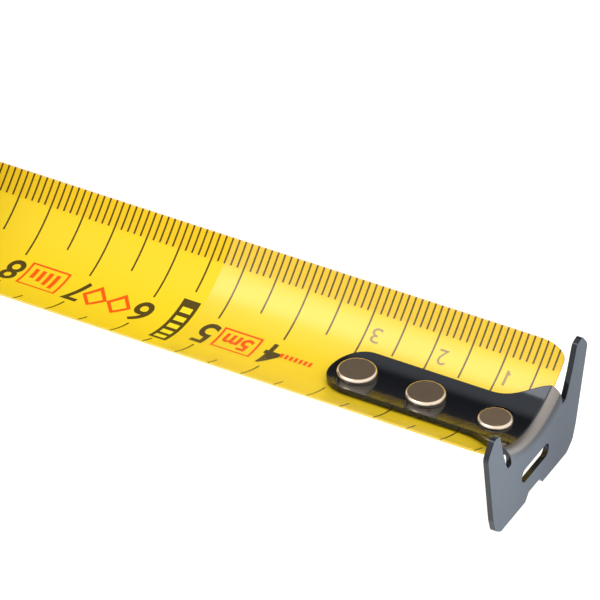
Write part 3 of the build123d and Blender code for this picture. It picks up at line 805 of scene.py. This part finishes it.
def beltClip():
    # One bent strip: its middle line swept with a rounded-rectangle section. Near each end the half width
    # drops by c (1 - sqrt(1 - w^2)), with w from 0 to 1 over the corner's length c.
    centre, along = roundedPath(clipShape["path"], clipShape["radii"], clipShape["step"])
    tangent = np.gradient(centre, along, axis=0)
    tangent /= np.linalg.norm(tangent, axis=1)[:, None]
    outward = np.stack([-tangent[:, 1], tangent[:, 0]], axis=-1)
    nearEnd = np.clip(1 - np.minimum(along, along[-1] - along) / clipShape["corner"], 0, 1)
    half = clipShape["half"] - clipShape["corner"] * (1 - np.sqrt(1 - nearEnd ** 2))
    deep, soft = clipShape["thick"] / 2, clipShape["round"]
    quarter = np.linspace(0, math.pi / 2, 4)
    section = []  # side, inset from the edge, and depth of each point round the strip
    for turnSign, depthSign in ((1, 1), (-1, 1), (-1, -1), (1, -1)):
        arc = quarter if turnSign * depthSign < 0 else quarter[::-1]
        for a in arc:
            section.append((turnSign, soft * (1 - math.cos(a)), depthSign * (deep - soft * (1 - math.sin(a)))))
    section = np.array(section)
    x = section[:, 0] * (half[:, None] - section[:, 1])
    yz = centre[:, None, :] + outward[:, None, :] * section[None, :, 2:3]
    points = np.stack([x, yz[:, :, 0], yz[:, :, 1]], axis=-1)
    rows, columns = x.shape
    ring = np.arange(rows - 1)[:, None] * columns
    here, following = np.arange(columns), np.roll(np.arange(columns), -1)
    faces = np.stack([ring + here, ring + following, ring + following + columns, ring + here + columns],
                     axis=-1).reshape(-1, 4).tolist()
    faces += [list(range(columns)), list(range((rows - 1) * columns, rows * columns))]
    return points.reshape(-1, 3), faces


clipPoints, clipFaces = beltClip()
clip = makePiece("beltClip", clipPoints * millimetre, clipFaces, clipSteel)
fixNormals(clip)
smoothShade(clip)
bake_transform(clip)
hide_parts("belt_clip_foot")
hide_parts("belt_clip_arm")
print("reel and clip finished")


floorLook = {"dark": (0.43, 0.43, 0.43, 1), "light": (0.47, 0.47, 0.47, 1), "glow": 0.85,
             "reach": 3.0, "count": 13, "height": -0.0002}


def stageFloor():  # a flat square sheet just under the object, on an even grid
    material, tree, shader = newMaterial("paperFloor")
    place = objectPlace(tree)
    fibre = noiseValue(tree, place, 40.0, 3.0)
    tree.links.new(mixColour(tree, fibre, floorLook["dark"], floorLook["light"]), shader.inputs["Base Color"])
    shader.inputs["Roughness"].default_value = 0.9
    shader.inputs["Specular IOR Level"].default_value = 0.1
    shader.inputs["Emission Color"].default_value = (1, 1, 1, 1)
    shader.inputs["Emission Strength"].default_value = floorLook["glow"]
    count = floorLook["count"]
    reach = np.linspace(-floorLook["reach"], floorLook["reach"], count)
    gx, gy = np.meshgrid(reach, reach, indexing="ij")
    points = np.stack([gx, gy, np.full_like(gx, floorLook["height"])], axis=-1).reshape(-1, 3)
    floor = makePiece("floorSheet", points, gridFaces(count, count, 0, True).tolist(), material)
    fixNormals(floor)
    if floor.data.polygons[0].normal.z < 0:
        floor.data.flip_normals()


lightRig = {
    "overhead": 1.1,  # radiance of the studio's ceiling
    "backdrop": 0.16,  # of the dark backdrop behind the object
    "surround": 0.93,  # of everything else
    "keyWhere": (-0.365, -0.05, 0.93),
    "keyDistance": 1.0,
    "keyAimBack": 0.03,
    "keySize": 0.40,
    "keyPower": 2.3,
}


def stageLights():
    world = bpy.data.worlds.new("studio")
    bpy.context.scene.world = world
    world.use_nodes = True
    tree = world.node_tree
    background = next(n for n in tree.nodes if n.type == "BACKGROUND")
    path = tree.nodes.new("ShaderNodeLightPath")
    way = split(tree, tree.nodes.new("ShaderNodeTexCoord").outputs["Generated"])
    behind = rangeMask(tree, way[1], 0.15, 0.45)
    low = rangeMask(tree, way[2], 0.84, 0.68)
    aside = rangeMask(tree, maths(tree, "ABSOLUTE", maths(tree, "ADD", way[0], 0.34)), 0.5, 0.36)
    above = rangeMask(tree, way[2], -0.02, 0.06)
    shade = maths(tree, "MULTIPLY", maths(tree, "MULTIPLY", behind, low),
                  maths(tree, "MULTIPLY", above, aside))
    ceiling = rangeMask(tree, way[2], 0.5, 0.8)
    openSky = maths(tree, "ADD", lightRig["surround"],
                  maths(tree, "MULTIPLY", ceiling, lightRig["overhead"] - lightRig["surround"]))
    drop = maths(tree, "MULTIPLY", shade, maths(tree, "SUBTRACT", lightRig["backdrop"], openSky))
    radiance = maths(tree, "ADD", openSky, drop)
    seen = maths(tree, "MULTIPLY", path.outputs["Is Camera Ray"], maths(tree, "SUBTRACT", 1.0, radiance))
    tree.links.new(maths(tree, "ADD", seen, radiance), background.inputs["Strength"])
    background.inputs["Color"].default_value = (1, 1, 1, 1)
    light = bpy.data.lights.new("keySoftbox", "AREA")
    light.shape = "SQUARE"
    light.size = lightRig["keySize"]
    light.energy = lightRig["keyPower"]
    lamp = bpy.data.objects.new("keySoftbox", light)
    aim = Vector((scaleZero * millimetre - lightRig["keyAimBack"], 0, bladeLow.z))
    toLamp = Vector(lightRig["keyWhere"]).normalized()
    lamp.location = aim + toLamp * lightRig["keyDistance"]
    lamp.rotation_mode = "QUATERNION"
    lamp.rotation_quaternion = toLamp.to_track_quat("Z", "Y")
    bpy.context.scene.collection.objects.link(lamp)


cameraRig = {
    "azimuth": 31.108, "elevation": 45.016, "roll": -4.903, "distance": 1.1305, "lens": 499.8,
    "aimBack": 45.0,  # the point looked at, behind the zero
    "aimRight": 0.006096, "aimUp": 0.003815,  # tangents of the small turn off that point
}


def stageCamera():
    azimuth, elevation, roll = (math.radians(cameraRig[k]) for k in ("azimuth", "elevation", "roll"))
    back = Vector((math.sin(azimuth) * math.cos(elevation), -math.cos(azimuth) * math.cos(elevation),
                   math.sin(elevation)))
    right = Vector((0, 0, 1)).cross(back).normalized()
    up = back.cross(right)
    turnedRight = right * math.cos(roll) + up * math.sin(roll)
    turnedUp = up * math.cos(roll) - right * math.sin(roll)
    printedFace = bladeLow.z / millimetre + blade["thick"]
    target = Vector((scaleZero - cameraRig["aimBack"], 0, printedFace)) * millimetre
    ahead = (-back + turnedRight * cameraRig["aimRight"] + turnedUp * cameraRig["aimUp"]).normalized()
    sideways = (turnedRight - ahead * turnedRight.dot(ahead)).normalized()
    upward = sideways.cross(ahead)
    data = bpy.data.cameras.new("view")
    data.lens = cameraRig["lens"]
    data.sensor_width = 36.0
    data.clip_start, data.clip_end = 0.05, 20.0
    eye = bpy.data.objects.new("view", data)
    eye.location = target + back * cameraRig["distance"]
    eye.rotation_mode = "QUATERNION"
    turn = Matrix((sideways, upward, -ahead)).transposed()
    eye.rotation_quaternion = turn.to_quaternion()
    bpy.context.scene.collection.objects.link(eye)
    bpy.context.scene.camera = eye


stageFloor()
stageLights()
stageCamera()
bpy.context.scene.view_settings.view_transform = "Standard"
print("stage set")
